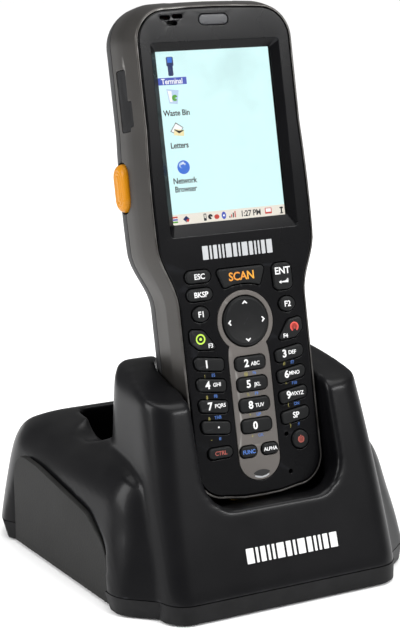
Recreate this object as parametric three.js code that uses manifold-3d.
// A handheld data terminal with a numeric keypad, standing in its charging cradle.
//
// Millimetres, +Z up, +Y towards the back. The origin lies on the ground under the middle of the
// base. Pieces of the handheld are drawn in its own frame: origin at the middle of the display on
// the front face, +x right, +y up the face, +z out of the face. `handheldMatrix` leans them back
// and seats them in the cradle, and the cradle's pocket is cut with the same matrix.

import * as THREE from 'three';
import { mergeVertices } from 'three/addons/utils/BufferGeometryUtils.js';
import Module from 'manifold-3d';

const wasm = await Module();
wasm.setup();

// ---------------------------------------------------------------- driving dimensions

const GAP = 0.3; // air between two pieces that touch or nest
const KEY_GAP = 0.3; // air around a key in its hole
const POCKET_GAP = 0.6; // air between the handheld and the cradle's pocket

// Handheld, front face
const DISPLAY_WIDTH = 43.2;
const DISPLAY_HEIGHT = 57.6;
const BEZEL_SIDE = 6.6; // display edge to the side of the face
const BEZEL_TOP = 13.5; // display edge to the top of the face
const CHIN = 34.3; // display edge to the middle of the navigation disc
const KEYPAD_HALF = 21.4; // middle line to the outer end of the outer keys
const KEYPAD_MARGIN = 2.0; // outer keys to the side of the grip
const KEYPAD_TAIL = 58.4; // middle of the navigation disc to the end of the face
const HEAD_CORNER = 10.5;
const GRIP_CORNER = 9.5;
const TOP_CROWN = 0.5;
const BOTTOM_CROWN = 1.2;
const SHOULDER_BULGE = 0.8; // how far the head swells above the waist
const WAIST_ABOVE_NAV = 17.1; // middle of the curve from head to grip
const WAIST_LENGTH = 20;

// Handheld, depth
const BODY_DEPTH = 29.5;
const PARTING_DEPTH = 16.5; // where the mid frame meets the rear cover
const BACK_SHARES = [0.27, 0.5, 0.69, 0.85, 0.946]; // sections of the rounding behind the parting
const FACE_PLATE = 2.4;
const FACE_SKIRT = 3.6;
const RIM_DEPTH = 0.3; // the frame's bright rim starts just below the face
const RIM_GROW = 0.9;
const HEAD_GROW = 2.9; // side bulge of the head beyond the face
const GRIP_GROW = 1.7;
const GROW_DEPTH = 12.5; // depth at which the side bulge is full
const BACK_ROUND = 10; // sideways run of the rounding towards the back
const SHELL_WALL = 2.3;

// Display stack
const RECESS_SLOPE = 2.4; // width of the sloped frame around the display
const RECESS_SLOPE_LOWER = 4.2;
const LENS_BORDER = 2.6;
const LENS_THICK = 0.9;
const MODULE_BORDER = 3.4;
const MODULE_THICK = 3.6;

// Keys
const KEY_PROUD = 0.8;
const KEY_BELOW = 2.9;
const KEY_TRAVEL = 0.8;
const MAT_THICK = 0.9;
const BOARD_THICK = 1.4;
const NAV_RADIUS = 8.8;
const RING_RADIUS = 10.5;
const INLAY_HALF = 7.8;
const INLAY_TAIL = 53.9; // middle of the navigation disc to the end of the inlay
const INLAY_DEPTH = 0.8;
const INLAY_PROUD = 0.15;

// Side controls
const BUTTON_HEIGHT = 16.2;
const BUTTON_WIDTH = 9.6;
const BUTTON_Y = -14.6;
const BUTTON_DEPTH = 17.2;
const BUTTON_PROUD = 2;
const DOOR_LOW = 3.7;
const DOOR_HIGH = 24;
const DOOR_FRONT_DEPTH = 8;
const DOOR_REAR_DEPTH = 14;
const DOOR_TAB_DEPTH = 6;
const DOOR_THICK = 1.8;

// Rear of the handheld
const BATTERY_DOOR_HALF = 17;
const BATTERY_DOOR_TOP = -12;
const BATTERY_DOOR_BOTTOM = -62;
const LATCH_WIDTH = 14;
const LATCH_HEIGHT = 6;
const LATCH_TRAVEL = 3;

// Cradle
const LEAN = THREE.MathUtils.degToRad(13.6);
const SEAT_FROM_FRONT = 19.8; // foot of the front face of the cradle to the end of the handheld
const SEAT_HEIGHT = 33.3; // ground to the lower end of the handheld's face
const CRADLE_DEPTH = 118.4;
const CRADLE_HALF_FRONT = 55.8; // half width at the front of the side lobes
const CRADLE_HALF_REAR = 67.2;
const LOBE_SETBACK = 15.9; // tower front to lobe front
const SEAM_HEIGHT = 7.2;
const FOOT_PROUD = 0.8;
const DECK_HEIGHT = 50;
const TOWER_HEIGHT = 75;
const CHEEK_THICK = 14; // pocket wall to the outside of the tower at its top
const TOWER_SLOPE = 0.372; // how far the tower's front leans back, per unit of height
const TOWER_DEPTH_TOP = 39; // tower depth at TOWER_HEIGHT
const TOWER_BACK_SLOPE = 0.12;
const NOTCH_HALF = 21; // gap in the tower's rear wall behind the handheld
const NOTCH_HEIGHT = 57;
const SHELL = 2.6;
const WELL_HALF = 38;
const WELL_LENGTH = 26.8;
const WELL_FLOOR = 16;
const PANEL_THICK = 2;
const PANEL_INSET = 2.4;
const PANEL_HEIGHT = 35.5;

// ---------------------------------------------------------------- derived places

const FACE_TOP = DISPLAY_HEIGHT / 2 + BEZEL_TOP;
const NAV_Y = -DISPLAY_HEIGHT / 2 - CHIN;
const FACE_BOTTOM = NAV_Y - KEYPAD_TAIL;
const HEAD_HALF = DISPLAY_WIDTH / 2 + BEZEL_SIDE;
const GRIP_HALF = KEYPAD_HALF + KEYPAD_MARGIN;
const WAIST_Y = NAV_Y + WAIST_ABOVE_NAV;
const BODY_END = FACE_BOTTOM - GRIP_GROW;
const POCKET_HALF = GRIP_HALF + GRIP_GROW + POCKET_GAP;
const POCKET_FLOOR = BODY_END - POCKET_GAP;

const LENS_TOP = -FACE_PLATE - GAP;
const MODULE_TOP = LENS_TOP - LENS_THICK - GAP;
const MAT_TOP = -KEY_BELOW - KEY_TRAVEL - 0.4;
const KEY_BOARD_TOP = MAT_TOP - MAT_THICK - GAP;
const MAIN_BOARD_TOP = Math.min(MODULE_TOP - MODULE_THICK, KEY_BOARD_TOP - BOARD_THICK) - 0.4;

const FRONT_Y = -CRADLE_DEPTH / 2;
const REAR_Y = CRADLE_DEPTH / 2;
const LOBE_FRONT_Y = FRONT_Y + LOBE_SETBACK;
const TOWER_BACK_Y = FRONT_Y + (TOWER_HEIGHT - SEAM_HEIGHT) * TOWER_SLOPE + TOWER_DEPTH_TOP;
const WELL_FRONT_Y = TOWER_BACK_Y - (TOWER_HEIGHT - DECK_HEIGHT) * TOWER_BACK_SLOPE + GAP;
const WELL_BACK_Y = WELL_FRONT_Y + WELL_LENGTH;
const TOWER_HALF_TOP = POCKET_HALF + CHEEK_THICK;

const handheldMatrix = new THREE.Matrix4().makeRotationX(Math.PI / 2 - LEAN);
const seated = new THREE.Vector3(0, FACE_BOTTOM, 0).applyMatrix4(handheldMatrix);
handheldMatrix.setPosition(0, FRONT_Y + SEAT_FROM_FRONT - seated.y, SEAT_HEIGHT - seated.z);

// ---------------------------------------------------------------- outlines

const smoothstep = (low, high, value) => THREE.MathUtils.smoothstep(value, low, high);

/** Closed outline through corners [x, y, radius], given anticlockwise. */
function rounded(corners, steps = 3) {
  const points = [];
  corners.forEach(([x, y, radius = 0], index) => {
    const corner = new THREE.Vector2(x, y);
    if (radius <= 0) {
      points.push(corner);
      return;
    }
    const before = corners[(index + corners.length - 1) % corners.length];
    const after = corners[(index + 1) % corners.length];
    const back = new THREE.Vector2(before[0] - x, before[1] - y);
    const ahead = new THREE.Vector2(after[0] - x, after[1] - y);
    const room = Math.min(back.length(), ahead.length()) * 0.499;
    back.normalize();
    ahead.normalize();
    const half = Math.acos(THREE.MathUtils.clamp(back.dot(ahead), -1, 1)) / 2;
    const reach = Math.min(radius / Math.tan(half), room);
    const arc = reach * Math.tan(half);
    const centre = back.clone().add(ahead).normalize().multiplyScalar(arc / Math.sin(half)).add(corner);
    const start = back.clone().multiplyScalar(reach).add(corner).sub(centre).angle();
    let sweep = ahead.clone().multiplyScalar(reach).add(corner).sub(centre).angle() - start;
    sweep = THREE.MathUtils.euclideanModulo(sweep + Math.PI, 2 * Math.PI) - Math.PI;
    for (let step = 0; step <= steps; step += 1) {
      const angle = start + (sweep * step) / steps;
      points.push(new THREE.Vector2(Math.cos(angle), Math.sin(angle)).multiplyScalar(arc).add(centre));
    }
  });
  return points;
}

/** Rounded rectangle between two corners. */
function box2(x0, y0, x1, y1, radius = 0, steps = 3) {
  return rounded([[x0, y0, radius], [x1, y0, radius], [x1, y1, radius], [x0, y1, radius]], steps);
}

function ellipse(x, y, rx, ry, count = 24) {
  return Array.from({ length: count }, (_, index) => {
    const angle = (2 * Math.PI * index) / count;
    return new THREE.Vector2(x + rx * Math.cos(angle), y + ry * Math.sin(angle));
  });
}

/** The outline moved outwards along its normals, by a number or by a function of point and normal. */
function offset(outline, amount) {
  const count = outline.length;
  return outline.map((point, index) => {
    const before = outline[(index + count - 1) % count];
    const after = outline[(index + 1) % count];
    const first = point.clone().sub(before).normalize();
    const second = after.clone().sub(point).normalize();
    const normal = new THREE.Vector2(first.y + second.y, -first.x - second.x).normalize();
    const miter = 1 / Math.max(0.5, Math.abs(normal.x * first.y - normal.y * first.x));
    const by = typeof amount === 'function' ? amount(point, normal) : amount;
    return normal.multiplyScalar(by * miter).add(point);
  });
}

const mirrored = (outline) => outline.map((point) => new THREE.Vector2(-point.x, point.y)).reverse();

/** Half width of the face at a height: grip, waist curve, then the slightly swollen head. */
function faceHalf(y) {
  const head = smoothstep(WAIST_Y - WAIST_LENGTH / 2, WAIST_Y + WAIST_LENGTH / 2, y);
  const swellAt = WAIST_Y + 22;
  const swell = Math.max(0, 1 - ((y - swellAt) / 26) ** 2);
  return GRIP_HALF + (HEAD_HALF - GRIP_HALF) * head + SHOULDER_BULGE * swell * head;
}

/** Outline of the face. */
function faceOutline() {
  const right = [new THREE.Vector2(0, FACE_BOTTOM)];
  const lowX = GRIP_HALF - GRIP_CORNER;
  const lowY = FACE_BOTTOM + BOTTOM_CROWN + GRIP_CORNER;
  for (let step = 0; step <= 6; step += 1) {
    const angle = -Math.PI / 2 + (Math.PI / 2) * (step / 6);
    right.push(new THREE.Vector2(lowX + GRIP_CORNER * Math.cos(angle), lowY + GRIP_CORNER * Math.sin(angle)));
  }
  const topX = faceHalf(FACE_TOP) - HEAD_CORNER;
  const topY = FACE_TOP - TOP_CROWN - HEAD_CORNER;
  const waistLow = WAIST_Y - WAIST_LENGTH / 2;
  const waistHigh = WAIST_Y + WAIST_LENGTH / 2;
  const heights = [waistLow];
  for (let step = 1; step <= 6; step += 1) {
    heights.push(waistLow + (WAIST_LENGTH * step) / 6);
  }
  for (let step = 1; step <= 3; step += 1) {
    heights.push(waistHigh + ((topY - waistHigh) * step) / 4);
  }
  heights.forEach((y) => right.push(new THREE.Vector2(faceHalf(y), y)));
  for (let step = 0; step <= 6; step += 1) {
    const angle = (Math.PI / 2) * (step / 6);
    right.push(new THREE.Vector2(topX + HEAD_CORNER * Math.cos(angle), topY + HEAD_CORNER * Math.sin(angle)));
  }
  right.push(new THREE.Vector2(0, FACE_TOP));
  return [...right, ...mirrored(right).slice(1, -1)];
}

const FACE = faceOutline();

const backDepths = BACK_SHARES.map((share) => PARTING_DEPTH + share * (BODY_DEPTH - PARTING_DEPTH));

/** How far the body stands outside the face at a depth, for a given full side bulge. */
function bulge(depth, full) {
  const swell = RIM_GROW + (full - RIM_GROW) * Math.sin((Math.PI / 2) * Math.min(1, depth / GROW_DEPTH));
  const turn = THREE.MathUtils.clamp((depth - PARTING_DEPTH) / (BODY_DEPTH - PARTING_DEPTH), 0, 1);
  return swell - BACK_ROUND * (1 - Math.sqrt(1 - turn * turn));
}

/** Outline of the body at a depth, grown by `extra`. */
function bodyOutline(depth, extra = 0) {
  const topShare = 0.35; // the top end swells more than the sides
  return offset(FACE, (point, normal) => {
    const head = smoothstep(WAIST_Y - WAIST_LENGTH / 2, WAIST_Y + WAIST_LENGTH / 2, point.y);
    const full = GRIP_GROW + (HEAD_GROW - GRIP_GROW) * head + topShare * HEAD_GROW * Math.max(0, normal.y) * head;
    return bulge(depth, full) + extra;
  });
}

// ---------------------------------------------------------------- solids

/** A closed geometry as a solid. */
function solid(geometry) {
  geometry.deleteAttribute('normal');
  geometry.deleteAttribute('uv');
  const merged = mergeVertices(geometry, 1e-4);
  return new wasm.Manifold(new wasm.Mesh({
    numProp: 3,
    vertProperties: new Float32Array(merged.attributes.position.array),
    triVerts: new Uint32Array(merged.index.array),
  }));
}

/** Straight prism on an outline, from z0 to z1. */
function prism(outline, z0, z1) {
  const geometry = new THREE.ExtrudeGeometry(new THREE.Shape(outline), { depth: z1 - z0, bevelEnabled: false });
  return solid(geometry.translate(0, 0, z0));
}

/** Prism on an outline drawn in (y, z), running along x from x0 to x1. */
function prismX(outline, x0, x1) {
  const turn = new THREE.Matrix4().makeBasis(
    new THREE.Vector3(0, 1, 0), new THREE.Vector3(0, 0, 1), new THREE.Vector3(1, 0, 0));
  const geometry = new THREE.ExtrudeGeometry(new THREE.Shape(outline), { depth: x1 - x0, bevelEnabled: false });
  return solid(geometry.translate(0, 0, x0).applyMatrix4(turn));
}

/** Prism on an outline drawn in (z, x), running along y from y0 to y1. */
function prismY(outline, y0, y1) {
  const turn = new THREE.Matrix4().makeBasis(
    new THREE.Vector3(0, 0, 1), new THREE.Vector3(1, 0, 0), new THREE.Vector3(0, 1, 0));
  const geometry = new THREE.ExtrudeGeometry(new THREE.Shape(outline), { depth: y1 - y0, bevelEnabled: false });
  return solid(geometry.translate(0, 0, y0).applyMatrix4(turn));
}

function block(x0, y0, z0, x1, y1, z1) {
  const geometry = new THREE.BoxGeometry(x1 - x0, y1 - y0, z1 - z0);
  return solid(geometry.translate((x0 + x1) / 2, (y0 + y1) / 2, (z0 + z1) / 2));
}

/** Skin through outlines at rising heights, closed at both ends by a fan. levels: [outline, z]. */
function loft(levels) {
  const count = levels[0][0].length;
  const positions = levels.flatMap(([outline, z]) => outline.flatMap((point) => [point.x, point.y, z]));
  const indices = [];
  for (let level = 0; level + 1 < levels.length; level += 1) {
    for (let index = 0; index < count; index += 1) {
      const a = level * count + index;
      const b = level * count + ((index + 1) % count);
      indices.push(a, b, b + count, a, b + count, a + count);
    }
  }
  [[0, levels[0], 1], [levels.length - 1, levels[levels.length - 1], -1]].forEach(([level, [outline, z], turn]) => {
    const middle = outline.reduce((sum, point) => sum.add(point), new THREE.Vector2()).divideScalar(count);
    const hub = positions.length / 3;
    positions.push(middle.x, middle.y, z);
    for (let index = 0; index < count; index += 1) {
      const rim = [level * count + index, level * count + ((index + 1) % count)];
      indices.push(hub, ...(turn > 0 ? rim.reverse() : rim));
    }
  });
  const geometry = new THREE.BufferGeometry();
  geometry.setAttribute('position', new THREE.Float32BufferAttribute(positions, 3));
  geometry.setIndex(indices);
  return solid(geometry);
}

const join = (...solids) => solids.reduce((whole, piece) => whole.add(piece));
const cut = (whole, ...tools) => tools.reduce((rest, tool) => rest.subtract(tool), whole);
const lean = (piece) => piece.transform(handheldMatrix.elements);

/** The handheld's outer form between two depths, grown by `extra` (negative for the inside). */
function bodyForm(depths, extra = 0) {
  return loft([...depths].sort((a, b) => b - a).map((depth) => [bodyOutline(depth, extra), -depth]));
}

// ---------------------------------------------------------------- materials and nodes

const finishes = {
  facePlastic: { color: 0x15161c, roughness: 0.32, metalness: 0 },
  silverPaint: { color: 0x64625f, roughness: 0.42, metalness: 0.55 },
  darkShell: { color: 0x2b2b2d, roughness: 0.6, metalness: 0 },
  cradlePlastic: { color: 0x1c1c1f, roughness: 0.5, metalness: 0 },
  cradlePanel: { color: 0x202023, roughness: 0.75, metalness: 0 },
  keyRubber: { color: 0x202124, roughness: 0.55, metalness: 0 },
  inlayPaint: { color: 0x69645f, roughness: 0.45, metalness: 0.4 },
  orangePlastic: { color: 0xeba523, roughness: 0.4, metalness: 0 },
  blackRubber: { color: 0x121213, roughness: 0.85, metalness: 0 },
  screen: { color: 0xdaffff, roughness: 0.2, metalness: 0 },
  lensGlass: { color: 0xdfe8ea, roughness: 0.08, metalness: 0, transparent: true, opacity: 0.35 },
  lightWindow: { color: 0x4a4a4e, roughness: 0.35, metalness: 0 },
  smokedWindow: { color: 0x2a0b0d, roughness: 0.1, metalness: 0, transparent: true, opacity: 0.8 },
  circuitBoard: { color: 0x14402a, roughness: 0.5, metalness: 0 },
  metalCan: { color: 0x9a9a9c, roughness: 0.35, metalness: 1 },
  contactGold: { color: 0xc9a24a, roughness: 0.3, metalness: 1 },
  batteryFilm: { color: 0x33363c, roughness: 0.5, metalness: 0 },
};
const materials = Object.fromEntries(
  Object.entries(finishes).map(([name, look]) => [name, new THREE.MeshStandardMaterial(look)]));

/** A solid as a named mesh. */
function node(name, piece, finish) {
  const { numProp, vertProperties, triVerts } = piece.getMesh();
  if (numProp !== 3) {
    throw new Error(`${name}: unexpected vertex data`);
  }
  const geometry = new THREE.BufferGeometry();
  geometry.setAttribute('position', new THREE.Float32BufferAttribute(vertProperties, 3));
  geometry.setIndex([...triVerts]);
  geometry.computeVertexNormals();
  const mesh = new THREE.Mesh(geometry, materials[finish]);
  mesh.name = name;
  return mesh;
}

const part = new THREE.Group();
const cradle = new THREE.Group();
const handheld = new THREE.Group();
handheld.applyMatrix4(handheldMatrix);
part.add(cradle, handheld);

// ---------------------------------------------------------------- keys

/** Outer digit key: its outer end sits higher than its inner end. `y` is from the navigation disc. */
function digitOutline(y) {
  const outer = -KEYPAD_HALF + 0.3;
  return rounded([[outer + 0.8, y - 1.4, 1.9], [-10.1, y - 2.9, 1.4], [-9.6, y + 1.4, 1.4], [outer, y + 3.1, 1.9]]);
}

/** Call key: a leaf that narrows towards the middle of the keypad. */
const callOutline = () => rounded(
  [[-18.4, -7.6, 1.2], [-11.3, -8.2, 0.9], [-16.1, -1.3, 2.2], [-KEYPAD_HALF, -0.5, 1.4], [-KEYPAD_HALF + 0.1, -5, 1.8]],
  3);

/** Scan key: wide above, with a hollow lower edge round the navigation ring. */
const scanOutline = () => rounded(
  [[-6.9, 11.6, 0.9], [-3.5, 12.5, 4], [0, 12.8, 4], [3.5, 12.5, 4], [6.9, 11.6, 0.9], [9.5, 18.2, 1.3], [-9.5, 18.2, 1.3]],
  2);

const centred = (x, y, width, height, radius) =>
  box2(x - width / 2, y - height / 2, x + width / 2, y + height / 2, radius);

const ROWS = [-12.8, -19.85, -26.95, -34]; // outer digit keys, from the navigation disc
const CENTRE_ROW_DROP = 1.35; // the middle column sits this much lower
const SMALL_KEY_X = 16.05;

const keyOutlines = {
  key_esc: centred(-SMALL_KEY_X, 16.6, 9.5, 4.2, 2.05),
  key_backspace: centred(-SMALL_KEY_X, 10.6, 9.5, 4.2, 2.05),
  key_scan: scanOutline(),
  key_enter: centred(15.7, 13.6, 7.4, 9.2, 2.2),
  key_f1: ellipse(-16.4, 4.1, 3.1, 2.6, 20),
  key_f2: ellipse(16.4, 4.1, 3.1, 2.6, 20),
  key_call: callOutline(),
  key_hang_up: mirrored(callOutline()),
};
[['key_1', 'key_2', 'key_3'], ['key_4', 'key_5', 'key_6'], ['key_7', 'key_8', 'key_9'],
  ['key_point', 'key_0', 'key_space']].forEach(([left, middle, right], row) => {
  keyOutlines[left] = digitOutline(ROWS[row]);
  keyOutlines[middle] = centred(0, ROWS[row] - CENTRE_ROW_DROP, 11.5, 4.7, 1.7);
  keyOutlines[right] = mirrored(digitOutline(ROWS[row]));
});
Object.assign(keyOutlines, {
  key_control: centred(-14.6, -42.6, 9.2, 3.8, 1.8),
  key_function: centred(-4.1, -43.8, 6.4, 3.9, 1.9),
  key_alpha: centred(4.1, -43.8, 6.4, 3.9, 1.9),
  key_power: ellipse(16.2, -42.4, 3.2, 3.2, 20),
});

const atKeypad = (outline, grow = 0) =>
  offset(outline, grow).map((point) => new THREE.Vector2(point.x, point.y + NAV_Y));

/** A key: straight stem, then a crown that narrows to the top. */
function keySolid(outline) {
  const crown = 0.45;
  return loft([
    [atKeypad(outline), -KEY_BELOW],
    [atKeypad(outline), KEY_PROUD - crown],
    [atKeypad(outline, -crown * 0.9), KEY_PROUD],
  ]);
}

for (const [name, outline] of Object.entries(keyOutlines)) {
  handheld.add(node(name, keySolid(outline), 'keyRubber'));
}

const PIVOT_TOP = -KEY_BELOW + 0.2;
const navDisc = ellipse(0, 0, NAV_RADIUS, NAV_RADIUS, 36);
handheld.add(node('nav_pad', loft([
  [atKeypad(navDisc), PIVOT_TOP + GAP + 0.3],
  [atKeypad(navDisc), 0.5],
  [atKeypad(navDisc, -1), 1],
  [atKeypad(navDisc, -5), 0.75],
]), 'keyRubber'));
handheld.add(node('nav_pivot',
  loft([[atKeypad(ellipse(0, 0, 5, 5)), PIVOT_TOP - 0.9], [atKeypad(ellipse(0, 0, 5, 5)), PIVOT_TOP]]), 'blackRubber'));

// ---------------------------------------------------------------- handheld shells

/** Metal-look inlay: a ring round the navigation disc and a strip down the middle keys. */
function inlayOutline(grow = 0) {
  const neck = 7;
  const meets = Math.asin(neck / RING_RADIUS);
  const outline = [];
  for (let step = 0; step <= 26; step += 1) {
    const angle = -Math.PI / 2 + meets + ((2 * Math.PI - 2 * meets) * step) / 26;
    outline.push(new THREE.Vector2(RING_RADIUS * Math.cos(angle), RING_RADIUS * Math.sin(angle)));
  }
  const endRadius = INLAY_HALF - 0.4;
  const endY = -INLAY_TAIL + endRadius;
  outline.push(new THREE.Vector2(-INLAY_HALF, -12.5));
  for (let step = 0; step <= 10; step += 1) {
    const angle = Math.PI + (Math.PI * step) / 10;
    outline.push(new THREE.Vector2(INLAY_HALF * Math.cos(angle), endY + endRadius * Math.sin(angle)));
  }
  outline.push(new THREE.Vector2(INLAY_HALF, -12.5));
  return atKeypad(outline, grow);
}

const keyHoles = (low, high) => [
  ...Object.values(keyOutlines).map((outline) => prism(atKeypad(outline, KEY_GAP), low, high)),
  prism(atKeypad(navDisc, KEY_GAP + 0.1), low, high),
];

const LED_Y = FACE_TOP - 4;
const ledOutline = (grow = 0) => box2(-5.4 - grow, LED_Y - 1.75 - grow, 5.4 + grow, LED_Y + 1.75 + grow, 1.7 + grow);
const SPEAKER_X = -15.4;
const speakerSlots = [[-2.4, -2.9], [2.2, -2.6], [0, -4.8]].map(([x, y]) =>
  prism(centred(SPEAKER_X + x, FACE_TOP + y, 3.5, 1.2, 0.55), -FACE_PLATE - 1, 1));

/** The sloped window in front of the display. */
function displayWindow() {
  const halfX = DISPLAY_WIDTH / 2;
  const halfY = DISPLAY_HEIGHT / 2;
  const lower = box2(-halfX, -halfY, halfX, halfY, 0.3, 1);
  const upper = box2(-halfX - RECESS_SLOPE, -halfY - RECESS_SLOPE_LOWER, halfX + RECESS_SLOPE,
    halfY + RECESS_SLOPE, 1, 1);
  const rise = 0.5; // runs on past both faces of the plate
  return loft([[lower, -FACE_PLATE - rise], [lower, -FACE_PLATE + 0.1], [upper, 0], [upper, rise]]);
}

function frontHousing() {
  const skirt = cut(prism(offset(FACE, 0), -FACE_SKIRT, -FACE_PLATE + 0.1),
    prism(offset(FACE, -1.6), -FACE_SKIRT - 1, -FACE_PLATE - 0.001));
  const plate = loft([[offset(FACE, 0), -FACE_PLATE], [offset(FACE, 0), -0.35], [offset(FACE, -0.4), 0]]);
  const inlaySeat = prism(inlayOutline(GAP), -INLAY_DEPTH - GAP, 1);
  const pinholes = [[11.2, -39.9], [11.4, -52.8]].map(([x, y]) =>
    prism(atKeypad(ellipse(x, y, 0.7, 0.7, 12)), -FACE_PLATE - 1, 1));
  return cut(join(skirt, plate), displayWindow(), inlaySeat, ...keyHoles(-FACE_PLATE - 1, 1),
    prism(ledOutline(GAP), -FACE_PLATE - 1, 1), ...speakerSlots, ...pinholes);
}

handheld.add(node('front_housing', frontHousing(), 'facePlastic'));
handheld.add(node('center_inlay',
  cut(prism(inlayOutline(), -INLAY_DEPTH, INLAY_PROUD), ...keyHoles(-INLAY_DEPTH - 1, 1)), 'inlayPaint'));
handheld.add(node('led_window',
  loft([[ledOutline(), -1.6], [ledOutline(), -0.1], [ledOutline(-0.3), 0.15]]), 'lightWindow'));

const buttonOutline = (grow = 0) => rounded([
  [BUTTON_Y - BUTTON_HEIGHT / 2 - grow, -BUTTON_DEPTH - BUTTON_WIDTH / 2 - grow, BUTTON_WIDTH * 0.48 + grow],
  [BUTTON_Y + BUTTON_HEIGHT / 2 + grow, -BUTTON_DEPTH - BUTTON_WIDTH / 2 - grow, BUTTON_WIDTH * 0.48 + grow],
  [BUTTON_Y + BUTTON_HEIGHT / 2 + grow, -BUTTON_DEPTH + BUTTON_WIDTH / 2 + grow, BUTTON_WIDTH * 0.48 + grow],
  [BUTTON_Y - BUTTON_HEIGHT / 2 - grow, -BUTTON_DEPTH + BUTTON_WIDTH / 2 + grow, BUTTON_WIDTH * 0.48 + grow]], 5);

/** Card door in the left side, with a finger tab towards the face. */
const doorOutline = (grow = 0) => rounded([
  [DOOR_LOW - grow, -DOOR_REAR_DEPTH - grow, 0.6],
  [DOOR_HIGH + grow, -DOOR_REAR_DEPTH - grow, 0.6],
  [DOOR_HIGH + grow, -DOOR_FRONT_DEPTH + grow, 0.6],
  [DOOR_LOW + 9.6 + grow, -DOOR_FRONT_DEPTH + grow, 0.6],
  [DOOR_LOW + 9.6 + grow, -DOOR_TAB_DEPTH + grow, 0.6],
  [DOOR_LOW + 1.4 - grow, -DOOR_TAB_DEPTH + grow, 0.6],
  [DOOR_LOW + 1.4 - grow, -DOOR_FRONT_DEPTH + grow, 0.6],
  [DOOR_LOW - grow, -DOOR_FRONT_DEPTH + grow, 0.6]], 2);

const midDepths = [RIM_DEPTH, 3, 7, GROW_DEPTH, PARTING_DEPTH];
const rearDepths = [PARTING_DEPTH + GAP, ...backDepths, BODY_DEPTH];
const outside = HEAD_HALF + HEAD_GROW + 10;

const windowOutline = (grow = 0) => box2(-14.5 - grow, -13 - grow, -6.5 + grow, 13 + grow, 1.5);
const CONNECTOR_HALF = 9;
const CONNECTOR_DEPTHS = [10.2, 14.6];

function midFrame() {
  const inner = bodyForm([FACE_SKIRT + GAP, 7, GROW_DEPTH, PARTING_DEPTH + 1], -SHELL_WALL);
  const faceSeat = prism(offset(FACE, GAP), -FACE_SKIRT - GAP, 1);
  const connectorSlot = block(-CONNECTOR_HALF - 0.4, BODY_END - 5, -CONNECTOR_DEPTHS[1] - 0.4,
    CONNECTOR_HALF + 0.4, FACE_BOTTOM + 8, -CONNECTOR_DEPTHS[0] + 0.4);
  return cut(bodyForm(midDepths), inner, faceSeat, connectorSlot,
    prismX(buttonOutline(GAP), -outside, outside),
    prismX(doorOutline(GAP), -outside, -HEAD_HALF / 2),
    prismY(windowOutline(GAP), FACE_TOP - 12, FACE_TOP + 20));
}

const batteryDoorOutline = (grow = 0) => box2(-BATTERY_DOOR_HALF - grow, BATTERY_DOOR_BOTTOM - grow,
  BATTERY_DOOR_HALF + grow, BATTERY_DOOR_TOP + grow, 4 + grow);
const LATCH_LOW = BATTERY_DOOR_TOP + 2.5;
const latchOutline = (grow = 0, travel = 0) => box2(-LATCH_WIDTH / 2 - grow, LATCH_LOW - grow,
  LATCH_WIDTH / 2 + grow, LATCH_LOW + LATCH_HEIGHT + travel + grow, 1.5 + grow);

const rearInside = () => bodyForm(
  [PARTING_DEPTH - 1, ...backDepths.slice(0, 3), BODY_DEPTH - SHELL_WALL], -SHELL_WALL);

function rearCover() {
  return cut(bodyForm(rearDepths), rearInside(),
    prism(batteryDoorOutline(GAP), -BODY_DEPTH - 5, -PARTING_DEPTH - 3),
    prism(latchOutline(GAP, LATCH_TRAVEL), -BODY_DEPTH - 5, -PARTING_DEPTH - 3),
    prismX(buttonOutline(GAP), -outside, outside));
}

handheld.add(node('mid_frame', midFrame(), 'silverPaint'));
handheld.add(node('rear_cover', rearCover(), 'darkShell'));
handheld.add(node('battery_door', cut(
  bodyForm(rearDepths).intersect(prism(batteryDoorOutline(), -BODY_DEPTH - 5, -PARTING_DEPTH - 3)),
  rearInside()), 'darkShell'));

const latchPlate = prism(latchOutline(), -BODY_DEPTH, -BODY_DEPTH + SHELL_WALL - 0.3);
const latchRibs = [1.2, 3, 4.8].map((y) =>
  block(-LATCH_WIDTH / 2 + 1.5, LATCH_LOW + y - 0.35, -BODY_DEPTH - 0.5, LATCH_WIDTH / 2 - 1.5, LATCH_LOW + y + 0.35,
    -BODY_DEPTH + 0.5));
handheld.add(node('battery_latch', join(latchPlate, ...latchRibs), 'blackRubber'));

/** Scan button for the right side: a stem through the shell and a domed cap. */
function scanButton() {
  const stemEnd = HEAD_HALF + HEAD_GROW - SHELL_WALL - 2.2;
  const top = HEAD_HALF + SHOULDER_BULGE * 0.7 + HEAD_GROW + BUTTON_PROUD;
  const rings = [[0, stemEnd], [0, top - 1.6], [-0.9, top - 0.6], [-2.4, top]];
  const flat = loft(rings.map(([grow, x]) => [offset(buttonOutline(), grow), x]));
  return flat.transform([0, 1, 0, 0, 0, 0, 1, 0, 1, 0, 0, 0, 0, 0, 0, 1]);
}

handheld.add(node('scan_button_right', scanButton(), 'orangePlastic'));
handheld.add(node('scan_button_left', scanButton().mirror([1, 0, 0]), 'orangePlastic'));
handheld.add(node('side_door', cut(
  bodyForm(midDepths).intersect(prismX(doorOutline(), -outside, -HEAD_HALF / 2)),
  bodyForm(midDepths, -DOOR_THICK)), 'blackRubber'));
handheld.add(node('scan_window', cut(
  bodyForm(midDepths, -0.4).intersect(prismY(windowOutline(), FACE_TOP - 6, FACE_TOP + 20)),
  bodyForm(midDepths, -2)), 'smokedWindow'));

// ---------------------------------------------------------------- inside the handheld

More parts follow.
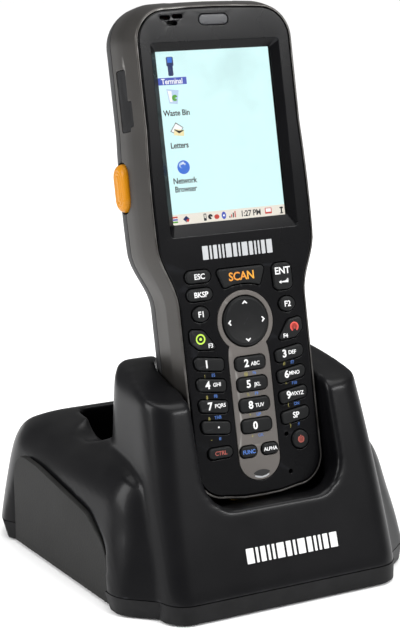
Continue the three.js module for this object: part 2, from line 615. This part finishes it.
const lensHalfX = DISPLAY_WIDTH / 2 + LENS_BORDER;
const lensHalfY = DISPLAY_HEIGHT / 2 + LENS_BORDER;
const moduleHalfX = DISPLAY_WIDTH / 2 + MODULE_BORDER;
const moduleHalfY = DISPLAY_HEIGHT / 2 + MODULE_BORDER;
handheld.add(node('touch_lens',
  prism(box2(-lensHalfX, -lensHalfY, lensHalfX, lensHalfY), LENS_TOP - LENS_THICK, LENS_TOP), 'lensGlass'));
handheld.add(node('display_module',
  prism(box2(-moduleHalfX, -moduleHalfY, moduleHalfX, moduleHalfY), MODULE_TOP - MODULE_THICK, MODULE_TOP), 'screen'));

const matTop = NAV_Y + 19.6;
const matBottom = FACE_BOTTOM + 6;
const matHalf = GRIP_HALF - 2.4;
handheld.add(node('keypad_mat',
  prism(box2(-matHalf, matBottom, matHalf, matTop, 5), MAT_TOP - MAT_THICK, MAT_TOP), 'blackRubber'));
handheld.add(node('keypad_board',
  prism(box2(-matHalf, matBottom, matHalf, matTop, 5), KEY_BOARD_TOP - BOARD_THICK, KEY_BOARD_TOP), 'circuitBoard'));
handheld.add(node('main_board',
  prism(offset(FACE, -2.6), MAIN_BOARD_TOP - BOARD_THICK, MAIN_BOARD_TOP), 'circuitBoard'));
handheld.add(node('speaker',
  prism(box2(SPEAKER_X - 4.5, FACE_TOP - 8.3, SPEAKER_X + 4.5, FACE_TOP - 2.8, 1), -FACE_PLATE - GAP - 2.4,
    -FACE_PLATE - GAP), 'metalCan'));
handheld.add(node('scan_engine',
  block(-12, FACE_TOP - 12, -PARTING_DEPTH - 3, 12, FACE_TOP - 1.5, MAIN_BOARD_TOP - BOARD_THICK - GAP), 'metalCan'));
const batteryFront = -BODY_DEPTH + SHELL_WALL + 0.6;
handheld.add(node('battery_pack',
  prism(box2(-BATTERY_DOOR_HALF + 1, BATTERY_DOOR_BOTTOM + 1, BATTERY_DOOR_HALF - 1, BATTERY_DOOR_TOP - 1, 2),
    batteryFront, batteryFront + 9), 'batteryFilm'));
handheld.add(node('io_connector', cut(
  block(-CONNECTOR_HALF, BODY_END + 0.4, -CONNECTOR_DEPTHS[1], CONNECTOR_HALF, FACE_BOTTOM + 7, -CONNECTOR_DEPTHS[0]),
  block(-CONNECTOR_HALF + 1.2, BODY_END - 1, -CONNECTOR_DEPTHS[1] + 1.1, CONNECTOR_HALF - 1.2, BODY_END + 1.6,
    -CONNECTOR_DEPTHS[0] - 1.1)), 'metalCan'));

// ---------------------------------------------------------------- cradle

const TOWER_SWELL = 4.8; // the tower is wider by this low down
const LOBE_SWEEP = 0.8; // slope of each lobe's front in plan, from its outer corner forward to the tower
const LOBE_NOSE_X = 41.5; // where that front runs into the tower's side
const TOWER_FRONT_CORNER = 9;
const TOWER_REAR_CORNER = 15;

/** Outline of the tower at a height. */
function towerOutline(z, inset = 0) {
  const front = FRONT_Y + Math.max(0, z - SEAM_HEIGHT) * TOWER_SLOPE + inset;
  const t = THREE.MathUtils.clamp(z / TOWER_HEIGHT, 0, 1);
  const half = TOWER_HALF_TOP + TOWER_SWELL * (1 - t) * (1 + 0.9 * t) - inset;
  const back = TOWER_BACK_Y - (TOWER_HEIGHT - z) * TOWER_BACK_SLOPE - inset;
  return rounded([[-half, front, TOWER_FRONT_CORNER - inset], [half, front, TOWER_FRONT_CORNER - inset],
    [half, back, TOWER_REAR_CORNER - inset], [-half, back, TOWER_REAR_CORNER - inset]], 5);
}

/** Half width of the base at a depth along y. */
const baseHalf = (y) =>
  CRADLE_HALF_FRONT + ((CRADLE_HALF_REAR - CRADLE_HALF_FRONT) * (y - LOBE_FRONT_Y)) / (REAR_Y - LOBE_FRONT_Y);

/** How far the lobes' outer front corners stand behind LOBE_FRONT_Y at a height: their fronts lean back. */
const LOBE_LEAN = [[0, 0], [7, 1.6], [16, 3.6], [22, 5.2], [29, 7], [36, 8.3], [51, 10]];
function lobeLean(z) {
  const next = Math.max(1, LOBE_LEAN.findIndex(([height]) => height >= z));
  const [[z0, lean0], [z1, lean1]] = [LOBE_LEAN[next - 1], LOBE_LEAN[next]];
  return THREE.MathUtils.mapLinear(z, z0, z1, lean0, lean1);
}

/** Outline of the side lobes at a height, drawn in by `inset` at the sides and `ends` at front and back.
 *  Each front runs forward from the outer corner to the tower's side. */
function lobeOutline(z, inset = 0, ends = 0) {
  const front = LOBE_FRONT_Y + lobeLean(z) + ends;
  const rear = REAR_Y - ends;
  const side = baseHalf(front) - inset;
  const noseX = Math.min(LOBE_NOSE_X, side - 2);
  const nose = front - LOBE_SWEEP * (side - noseX);
  const frontCorner = 7 + 0.3 * z;
  const rearCorner = 22 + 0.5 * Math.max(0, inset - ends - 4); // rounder higher up, where the sides draw in
  return rounded([[-side, front, frontCorner], [-noseX, nose, 0], [noseX, nose, 0],
    [side, front, frontCorner], [baseHalf(rear) - inset, rear, rearCorner],
    [-baseHalf(rear) + inset, rear, rearCorner]], 5);
}

/** Fore-and-aft profile of the lobes in (y, z): rolled front, rising deck, falling back. */
function lobeProfile(inset = 0) {
  const top = DECK_HEIGHT - inset;
  const f = LOBE_FRONT_Y + inset;
  const r = REAR_Y - inset;
  return [
    [f - 13, -5], [f - 13, SEAM_HEIGHT], [f - 9, top - 26], [f - 3, top - 18], [f + 0.5, top - 14],
    [f + 3.4, top - 12], [f + 7.5, top - 9.2], [f + 14, top - 6.5], [f + 31, top - 2.4], [f + 47, top - 0.3],
    [f + 60, top + 0.3], [r - 32, top - 0.5], [r - 25, top - 1.8], [r - 18, top - 4.8], [r - 11.5, top - 9.2],
    [r - 6, top - 16.5], [r - 2, top - 28.5], [r, SEAM_HEIGHT], [r, -5],
  ].map(([y, z]) => new THREE.Vector2(y, z));
}

/** The lobes' outer form, or with `inset` the room inside them. */
function lobes(inset = 0) {
  const low = inset > 0 ? SEAM_HEIGHT - 1 : SEAM_HEIGHT;
  const sides = [[low, 0], [17, 1.6], [29, 4], [35, 5.4], [39, 7.2], [42.7, 10], [45.5, 14.5], [47.5, 19.5], [51, 30]];
  const rings = sides.map(([z, drawn]) => [lobeOutline(z, drawn + inset, inset), z === low ? low : z - inset]);
  return loft(rings).intersect(prismX(lobeProfile(inset).reverse(), -200, 200));
}

/** The tower's outer form, or with `inset` the room inside it. */
function tower(inset = 0) {
  const low = inset > 0 ? SEAM_HEIGHT - 1 : SEAM_HEIGHT;
  const rings = [low, 22, 36, 52, 68, TOWER_HEIGHT + 4].map((z) => [towerOutline(z, inset), z]);
  const top = TOWER_HEIGHT - inset;
  const front = FRONT_Y + (TOWER_HEIGHT - SEAM_HEIGHT) * TOWER_SLOPE + inset;
  const side = TOWER_HALF_TOP - inset;
  const overTop = [[front - 40, -5], [front - 40, top - 20], [front - 6, top - 15], [front - 3.2, top - 8.6],
    [front - 1.4, top - 7], [front + 10, top - 4.6], [front + 24, top - 1.6], [front + 31, top - 0.2],
    [front + 35, top - 0.8], [front + 38.4, top - 4], [front + 39.6, top - 9], [front + 60, top - 10], [front + 60, -5]];
  const shoulder = [[-side - 0.9, top - 8], [-side + 0.3, top - 4.8], [-side + 3, top - 2.2], [-side + 8, top - 0.4]];
  const across = [[-60, -5], [-60, top - 30], ...shoulder, [-side + 12, top], [side - 12, top],
    ...shoulder.map(([x, z]) => [-x, z]).reverse(), [60, top - 30], [60, -5]];
  const yz = overTop.map(([y, z]) => new THREE.Vector2(y, z)).reverse();
  const zx = across.map(([x, z]) => new THREE.Vector2(z, x)).reverse();
  return loft(rings).intersect(prismX(yz, -200, 200)).intersect(prismY(zx, -200, 200));
}

/** The space that the handheld's grip needs, in the handheld's frame, grown by `grow`. */
function pocket(grow = 0) {
  const depths = [0, 4, 8, GROW_DEPTH, PARTING_DEPTH, ...backDepths, BODY_DEPTH];
  const reach = POCKET_GAP + grow;
  const right = depths.map((depth) => [
    GRIP_HALF + bulge(depth, GRIP_GROW) + reach, -depth - (depth === BODY_DEPTH ? reach : 0)]);
  right.unshift([right[0][0], reach]);
  const section = [...right.map(([x, z]) => new THREE.Vector2(z, x)),
    ...right.map(([x, z]) => new THREE.Vector2(z, -x)).reverse()];
  return prismY(section.reverse(), POCKET_FLOOR - grow, WAIST_Y);
}

/** The open front of the pocket, through which the keypad shows. */
function frontOpening() {
  const half = POCKET_HALF;
  const corner = GRIP_CORNER + GRIP_GROW + POCKET_GAP;
  return prism(rounded([[-half, POCKET_FLOOR, corner], [half, POCKET_FLOOR, corner], [half, WAIST_Y, 0],
    [-half, WAIST_Y, 0]], 6), -1, 60);
}

const PANEL_TURN = Math.atan((CRADLE_HALF_REAR - CRADLE_HALF_FRONT) / (REAR_Y - LOBE_FRONT_Y));

/** Arch-topped side panel in (y, z): it springs from the ground, rises towards the back and turns down. */
function panelOutline(grow = 0) {
  const low = FOOT_PROUD;
  const at = (y, z, radius) => [LOBE_FRONT_Y + y, z, radius];
  return rounded([at(7.4 - grow, low), at(78 + grow, low), at(78 + grow, PANEL_HEIGHT + grow, 9),
    at(60, PANEL_HEIGHT - 0.9 + grow, 30), at(25.5, PANEL_HEIGHT - 7 + grow, 8),
    at(13 - grow, PANEL_HEIGHT - 15 + grow * 0.5, 12)], 4);
}

/** A slab of the right-hand panel's shape between two distances inside the lobe's side. */
function panelSlab(nearer, further, grow = 0) {
  const slab = prismX(panelOutline(grow), -further, -nearer);
  const about = LOBE_FRONT_Y;
  return slab.translate([0, -about, 0]).rotate([0, 0, -THREE.MathUtils.radToDeg(PANEL_TURN)])
    .translate([CRADLE_HALF_FRONT, about, 0]);
}

const WELL = () => loft([
  [box2(-WELL_HALF, WELL_FRONT_Y, WELL_HALF, WELL_BACK_Y, 3), WELL_FLOOR],
  [box2(-WELL_HALF - 0.6, WELL_FRONT_Y, WELL_HALF + 0.6, WELL_BACK_Y + 0.8, 3), DECK_HEIGHT + 8]]);
const wellRoom = () => prism(box2(-WELL_HALF - SHELL - 0.6, WELL_FRONT_Y - SHELL, WELL_HALF + SHELL + 0.6,
  WELL_BACK_Y + SHELL + 0.8, 3), WELL_FLOOR - SHELL, DECK_HEIGHT + 8);

/** Thumb scoop in a lobe's deck beside the well. */
function scoop(side) {
  const geometry = new THREE.SphereGeometry(1, 16, 10);
  geometry.scale(18, 11.5, 6).translate(side * WELL_HALF, WELL_FRONT_Y + 5.5, DECK_HEIGHT + 2);
  return solid(geometry);
}

const rearNotch = () => prismY(box2(NOTCH_HEIGHT, -NOTCH_HALF, TOWER_HEIGHT + 20, NOTCH_HALF, 6),
  TOWER_BACK_Y - 18, TOWER_BACK_Y + 5);

const dockSlot = block(-11, POCKET_FLOOR - 12, -16.5, 11, POCKET_FLOOR + 2, -8.3);
const JACK_X = -24;
const USB_X = 2;
const PORT_Z = 17;

/** What the side panels and the step down to them take out of the housing and the base plate. */
function panelRecesses() {
  const recess = join(panelSlab(-20, PANEL_INSET + PANEL_THICK + GAP, GAP),
    panelSlab(-20, PANEL_INSET + PANEL_THICK + GAP, GAP).translate([0, 0, -SEAM_HEIGHT + GAP]));
  return [recess, recess.mirror([1, 0, 0])];
}

function cradleHousing() {
  const room = join(tower(SHELL), lobes(SHELL));
  const kept = join(lean(pocket(SHELL)), wellRoom());
  const hollow = cut(room, kept);
  const ports = [
    block(JACK_X - 6, REAR_Y - 16, PORT_Z - 6, JACK_X + 6, REAR_Y + 5, PORT_Z + 6),
    block(USB_X - 6.6, REAR_Y - 16, PORT_Z - 5, USB_X + 6.6, REAR_Y + 5, PORT_Z + 7)];
  return cut(join(tower(), lobes()), hollow, lean(pocket()), lean(frontOpening()), lean(dockSlot), WELL(),
    scoop(-1), scoop(1), rearNotch(), ...panelRecesses(), ...ports);
}

cradle.add(node('cradle_housing', cradleHousing(), 'cradlePlastic'));

const rightPanel = panelSlab(PANEL_INSET, PANEL_INSET + PANEL_THICK);
cradle.add(node('right_side_panel', rightPanel, 'cradlePanel'));
cradle.add(node('left_side_panel', rightPanel.mirror([1, 0, 0]), 'cradlePanel'));

const FOOT_RADIUS = 6;
const FOOT_THICK = 2;
const feetAt = {
  foot_front_left: [-30, FRONT_Y + 14],
  foot_front_right: [30, FRONT_Y + 14],
  foot_rear_left: [-50, REAR_Y - 18],
  foot_rear_right: [50, REAR_Y - 18],
};
const footPrism = ([x, y], grow, z0, z1) => prism(ellipse(x, y, FOOT_RADIUS + grow, FOOT_RADIUS + grow, 20), z0, z1);

function basePlate() {
  const top = SEAM_HEIGHT - GAP;
  const floor = FOOT_PROUD;
  const plate = join(
    loft([[towerOutline(floor), floor], [towerOutline(SEAM_HEIGHT), top]]),
    loft([[lobeOutline(floor, 1.2, 1.2), floor], [lobeOutline(top), top]]));
  const pan = join(prism(towerOutline(SEAM_HEIGHT, SHELL), floor + SHELL, top + 1),
    prism(lobeOutline(top, SHELL, SHELL), floor + SHELL, top + 1));
  return cut(plate, pan, ...panelRecesses(), ...Object.values(feetAt).map((at) => footPrism(at, GAP, -1, FOOT_THICK + GAP)));
}

cradle.add(node('base_plate', basePlate(), 'cradlePlastic'));
for (const [name, at] of Object.entries(feetAt)) {
  cradle.add(node(name, footPrism(at, 0, 0, FOOT_THICK), 'blackRubber'));
}

const BOARD_Z = SEAM_HEIGHT + 2.4;
cradle.add(node('cradle_board',
  prism(box2(-44, FRONT_Y + 26, 44, WELL_BACK_Y + 6, 3), BOARD_Z, BOARD_Z + 1.6), 'circuitBoard'));

const dockBody = block(-10.6, POCKET_FLOOR - 8, -16.1, 10.6, POCKET_FLOOR - 0.3, -8.7);
const dockCavity = block(-7.4, POCKET_FLOOR - 6.2, -13.8, 7.4, POCKET_FLOOR + 2, -11);
cradle.add(node('dock_connector', lean(cut(dockBody, dockCavity)), 'blackRubber'));
cradle.add(node('dock_contacts',
  lean(block(-7, POCKET_FLOOR - 4.4, -13.5, 7, BODY_END + 0.1, -11.3)), 'contactGold'));
cradle.add(node('battery_well_contacts',
  block(-9, WELL_FRONT_Y + GAP, WELL_FLOOR + GAP, 9, WELL_FRONT_Y + 3, WELL_FLOOR + 8), 'contactGold'));

/** A socket: a block with a round or flat mouth in its rear face. */
cradle.add(node('power_jack', cut(
  block(JACK_X - 5.7, REAR_Y - 15, PORT_Z - 5.7, JACK_X + 5.7, REAR_Y - 2.6, PORT_Z + 5.7),
  prismY(ellipse(PORT_Z, JACK_X, 3, 3, 20), REAR_Y - 12, REAR_Y)), 'blackRubber'));
cradle.add(node('usb_port', cut(
  block(USB_X - 6.3, REAR_Y - 15, PORT_Z - 4.7, USB_X + 6.3, REAR_Y - 2.6, PORT_Z + 6.7),
  prismY(box2(PORT_Z - 3.3, USB_X - 4.6, PORT_Z + 5.3, USB_X + 4.6), REAR_Y - 12, REAR_Y)), 'metalCan'));

export default part;
